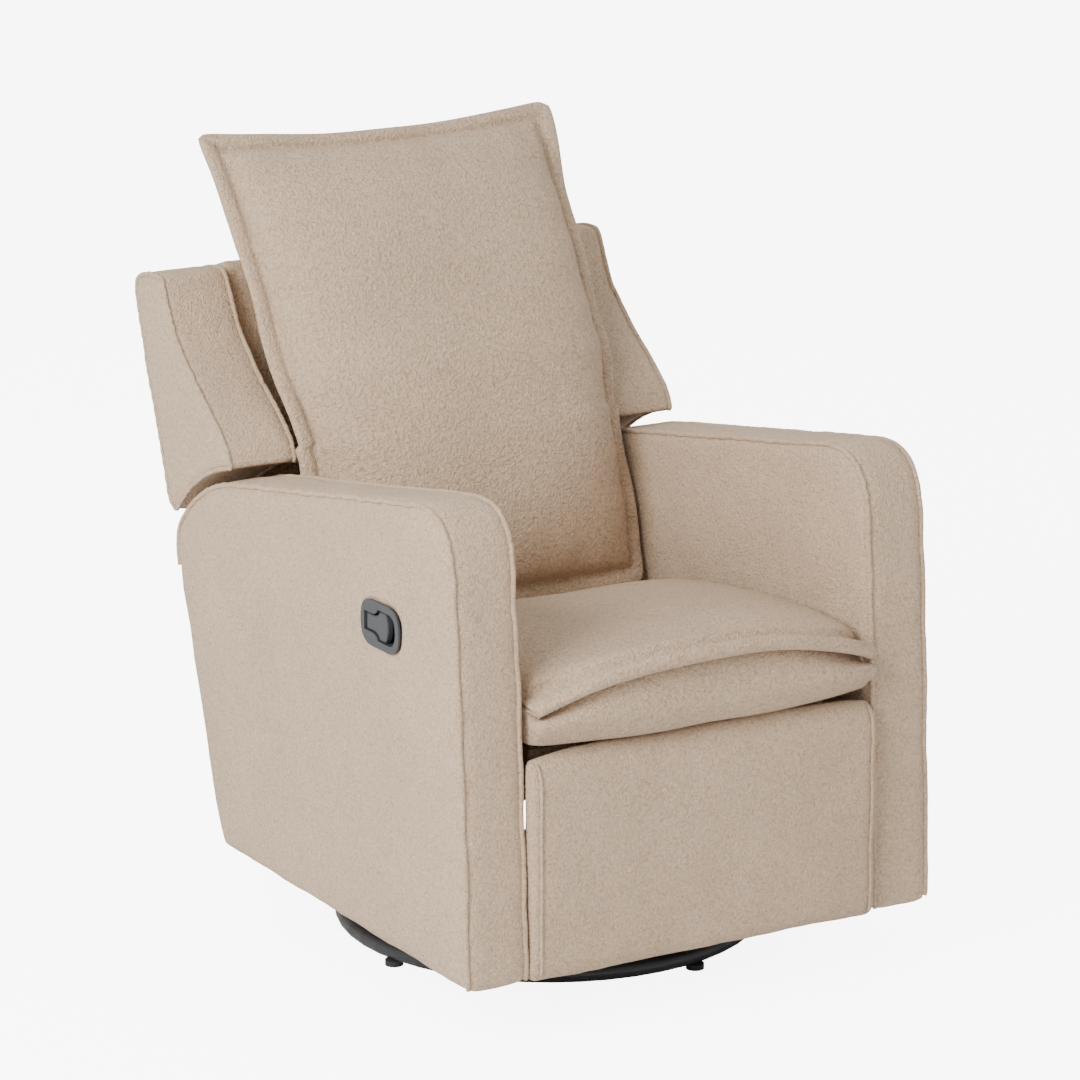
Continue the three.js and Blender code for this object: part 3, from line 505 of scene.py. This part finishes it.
def pillow_point(u, v, face):
    """face is +1 on the front and -1 on the rear. u runs across, v from the bottom to the top."""
    dip = 0.022 * (1 - u * u) * max(0.0, v) ** 3
    corner = CORNER * (abs(u) * abs(v)) ** 30
    s = PILLOW_BOTTOM + (PILLOW_TOP - PILLOW_BOTTOM) * (v + 1) / 2 - dip - math.copysign(corner, v)
    half = linear(PILLOW_HALF, s) - 0.008 * (1 - abs(v) ** 4) * (1 if s > 0.33 else 0)
    x = u * (half - corner)
    plane = linear(PILLOW_PLANE, s)
    from_side = (1 - abs(u)) * half
    from_end = (1 - abs(v)) * (PILLOW_TOP - PILLOW_BOTTOM) / 2
    edge = min(from_side, from_end)
    lip = LIP * math.sqrt(max(0.0, 1 - (1 - min(1.0, edge / LIP_EDGE)) ** 2))
    lip *= 1 - 0.86 * math.exp(-(((edge - FLANGE) / CREASE) ** 2))
    across = min(1.0, abs(x) / min(half - FLANGE, BODY_HALF))
    reach_v = (PILLOW_TOP - PILLOW_BOTTOM) / 2 - FLANGE
    up = min(1.0, abs(v) * (reach_v + FLANGE) / reach_v)
    body = (1 - across ** 3.2) ** 0.54 * (1 - up ** 3.4) ** 0.54
    low_fill = 1 + 0.12 * max(0.0, -v) - 0.14 * max(0.0, v)
    if face > 0:
        depth = PILLOW_DEPTH * low_fill * body
    else:
        room = (SLAB_FRONT - 0.004 - plane) if s < SLAB_TOP - 0.03 else 0.05
        depth = min(room * 0.93, 0.118) * body
    inner = max(0.0, edge - FLANGE)
    around = x * 38 if from_end < from_side else s * 38
    pucker = 0.0028 * math.exp(-inner / 0.03) * (1 - math.exp(-inner / 0.006))
    depth += pucker * math.sin(around * 2.1 + 2.2 * noise.noise(Vector((x, s, face)) * 9))
    point = leaned(plane, s, x)
    rearward = Vector((0, math.cos(LEAN), -math.sin(LEAN)))
    wave = 0.0035 * noise.noise(Vector((x, 0, s)) * 8 + Vector((0, face, 2.5))) * body
    ripple = 0.004 * math.exp(-((edge / 0.03) ** 2)) * math.sin(around * 0.9 + 1.3)
    return point - rearward * (face * (lip + depth + wave) + ripple)


def closed_sheet(point_at, us, vs):
    """Front and rear grids that share their rim, as one closed mesh."""
    verts, grids = [], {}
    for face in (1, -1):
        for j, v in enumerate(vs):
            for i, u in enumerate(us):
                rim = i in (0, len(us) - 1) or j in (0, len(vs) - 1)
                if face < 0 and rim:
                    grids[face, i, j] = grids[1, i, j]
                    continue
                grids[face, i, j] = len(verts)
                verts.append(point_at(u, v, face))
    faces = []
    for face in (1, -1):
        for j in range(len(vs) - 1):
            for i in range(len(us) - 1):
                corners = ((i, j), (i + 1, j), (i + 1, j + 1), (i, j + 1))
                quad = [grids[face, a, b] for a, b in corners]
                faces.append(tuple(quad if face > 0 else reversed(quad)))
    return verts, faces


def pillow():
    verts, faces = closed_sheet(pillow_point, spread(104, 0.35), spread(136, 0.35))
    piece = new_piece("back_pillow", verts, faces, "cushion_fabric", "back")
    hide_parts("back_cushion")
    return piece


# Seat cushion: a profile in (y, z) swept across the seat, with the pinched front edge

CUSHION_HALF = 0.262


def cushion_profile(u):
    """Closed profile at u from -1 to 1: bottom, lower roll, pinched edge, crown, rear."""
    side = abs(u)
    rise = math.sqrt(max(0.0, 1 - side ** 2.6))
    low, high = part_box("seat_cushion")
    bottom, front, rear = low[2], low[1], high[1]
    edge_z = bottom + 0.114 - 0.05 * side ** 2.4
    edge_y = front + 0.012 + 0.034 * side ** 3
    tuck = 0.012 * (1 - rise)
    lip = 0.024 + 0.006 * side ** 4
    points = [
        (rear - 0.006, bottom + 0.006 + tuck),
        (rear - 0.05, bottom + 0.001 + tuck),
        (rear - 0.3, bottom + 0.001 + tuck),
        (front + 0.12, bottom + 0.001 + tuck),
        (front + 0.055, bottom + 0.003 + tuck),
        (front + 0.026 + 0.014 * side ** 4, bottom + 0.013 + tuck),
        (front + 0.008 + 0.014 * side ** 4, bottom + 0.038),
        (front + 0.005 + 0.016 * side ** 4, bottom + 0.062 - 0.01 * side ** 3),
        (edge_y + 0.002, edge_z - 0.016),
        (edge_y + 0.012, edge_z - 0.008),
        (edge_y - 0.002, edge_z - 0.008),
        (edge_y - lip * 0.66, edge_z - 0.007),
        (edge_y - lip * 0.9, edge_z + 0.004),
        (edge_y - lip * 0.6, edge_z + 0.014),
        (edge_y - 0.001, edge_z + 0.007),
        (edge_y + 0.012, edge_z + 0.004),
        (edge_y + 0.026, edge_z + 0.012 * rise + 0.004),
    ]
    crown = [(0.07, 0.118, 0.079), (0.13, 0.123, 0.085), (0.2, 0.121, 0.085), (0.3, 0.112, 0.078),
             (0.4, 0.098, 0.067), (0.48, 0.075, 0.055), (0.55, 0.048, 0.038), (0.6, 0.026, 0.022)]
    for distance, middle_height, edge_height in crown:
        height = edge_height + (middle_height - edge_height) * rise
        points.append((front + distance, bottom + height - 0.02 * (1 - min(1.0, (1 - side) / 0.06)) ** 2))
    points.append((rear, bottom + 0.012))
    return points


def cushion():
    stations = spread(92, 0.3)
    steps = [7, 18, 18, 9, 5, 4, 4, 4, 3, 3, 4, 3, 3, 4, 4, 4, 6, 8, 10, 12, 12, 11, 10, 8, 5, 3]
    verts, faces = [], []
    count = 0
    for j, u in enumerate(stations):
        profile = cushion_profile(u)
        ring = []
        total = len(profile)
        for i in range(total):
            p = [Vector(profile[(i + k) % total]) for k in (-1, 0, 1, 2)]
            for k in range(steps[i]):
                t = k / steps[i]
                b = p[2] - p[0]
                c = 2 * p[0] - 5 * p[1] + 4 * p[2] - p[3]
                d = 3 * p[1] - p[0] - 3 * p[2] + p[3]
                ring.append((2 * p[1] + b * t + c * t * t + d * t ** 3) / 2)
        count = len(ring)
        for y, z in ring:
            point = Vector((MID_X + u * CUSHION_HALF, y, z))
            wave = 0.0035 * noise.noise(point * 8 + Vector((5, 0, 0))) * (1 - abs(u) ** 6)
            point.z += wave
            verts.append(point)
    for j in range(len(stations) - 1):
        for i in range(count):
            a, b = j * count + i, j * count + (i + 1) % count
            faces.append((a, b, b + count, a + count))
    faces.append(tuple(reversed(range(count))))
    faces.append(tuple(range((len(stations) - 1) * count, len(stations) * count)))
    piece = new_piece("seat_cushion_cover", verts, faces, "cushion_fabric", "seat")
    build = bmesh.new()
    build.from_mesh(piece.data)
    bmesh.ops.recalc_face_normals(build, faces=build.faces)
    build.to_mesh(piece.data)
    build.free()
    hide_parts("seat_cushion")
    return piece


# Footrest pad, deck cover and rear valance

def footrest_pad():
    low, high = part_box("footrest_pad")
    piece = from_cad("footrest_cover", "footrest_pad", "cover_fabric", "footrest", 0.005, 8)
    middle = (low[2] + high[2]) / 2
    half_width, half_height = 0.262, 0.148
    widening, crown, face_depth = 1.013, 0.007, 0.012
    roll, roll_height = 0.009, 0.03
    ruffle(piece, 0.0015, 21.0)
    places = [vertex.co.copy() for vertex in piece.data.vertices]
    for point in places:
        across = min(1.0, abs(point.x - MID_X) / half_width)
        up = min(1.0, abs(point.z - middle) / half_height)
        point.x = MID_X + (point.x - MID_X) * widening
        if point.y < low[1] + face_depth:
            point.y -= crown * (1 - across ** 4) * (1 - up ** 4)
        if point.z > high[2] - roll_height:
            point.z += roll * (1 - across ** 6) * (point.z - high[2] + roll_height) / roll_height
    move_to(piece, places)
    inset = 0.008
    for name, x in (("left", high[0] - inset), ("right", low[0] + inset)):
        points = [Vector((x, low[1], z)) for z in (low[2] + 0.006, middle, high[2] - 0.03)]
        points.append(Vector((x, low[1] + 0.012, high[2])))
        seam(f"footrest_seam_{name}", points, piece, "footrest", radius=0.0022, depth=0.002, reach=0.006)


def thin_covers():
    deck = from_cad("deck_cloth", "deck_cover", "cover_fabric", "seat", 0.003, 3)
    skirt = from_cad("rear_valance_cloth", "rear_valance", "cover_fabric", "seat", 0.0028, 2)
    for piece, seed in ((deck, 31.0), (skirt, 37.0)):
        ruffle(piece, 0.0012, seed, 0.05)


# Floor and light

def studio():
    floor_mesh = bpy.data.meshes.new("floor")
    size = 14.0
    corners = [(-size, -size, 0), (size, -size, 0), (size, size, 0), (-size, size, 0)]
    floor_mesh.from_pydata(corners, [], [(0, 1, 2, 3)])
    floor = bpy.data.objects.new("floor", floor_mesh)
    material, tree, surface = shader("floor_pale", (0.9, 0.9, 0.9), 0.9)
    surface.inputs["Emission Color"].default_value = (1, 1, 1, 1)
    seen_at(tree, surface.inputs["Emission Strength"], 0.0, 7.0)
    floor_mesh.materials.append(material)
    bpy.context.scene.collection.objects.link(floor)
    world = bpy.data.worlds.new("studio")
    world.use_nodes = True
    world.node_tree.nodes["Background"].inputs["Color"].default_value = (1, 1, 1, 1)
    seen_at(world.node_tree, world.node_tree.nodes["Background"].inputs["Strength"], 0.95, 9.0)
    bpy.context.scene.world = world
    lamp("key", (-3.4, -1.4, 2.6), 2.4, 235)
    lamp("fill", (2.2, -3.6, 2.2), 3.0, 12)
    lamp("rim", (1.0, 2.8, 3.2), 2.4, 30)


def seen_at(tree, socket, lighting, seen):
    """One strength for lighting the chair and a brighter one for what the camera sees."""
    rays = tree.nodes.new("ShaderNodeLightPath")
    strength = node(tree, "ShaderNodeMapRange")
    strength.inputs["To Min"].default_value = lighting
    strength.inputs["To Max"].default_value = seen
    tree.links.new(rays.outputs["Is Camera Ray"], strength.inputs["Value"])
    tree.links.new(strength.outputs["Result"], socket)


def lamp(name, place, size, power):
    data = bpy.data.lights.new(name, "AREA")
    data.size = size
    data.energy = power
    light = bpy.data.objects.new(name, data)
    light.location = place
    aim = Vector((0, 0, 0.5)) - Vector(place)
    light.rotation_euler = aim.to_track_quat("-Z", "Y").to_euler()
    bpy.context.scene.collection.objects.link(light)


camera()
dress_frame()
for label, direction in (("left", 1), ("right", -1)):
    arm(label, direction)
    wing(label, direction)
slab()
pillow()
cushion()
footrest_pad()
thin_covers()
studio()
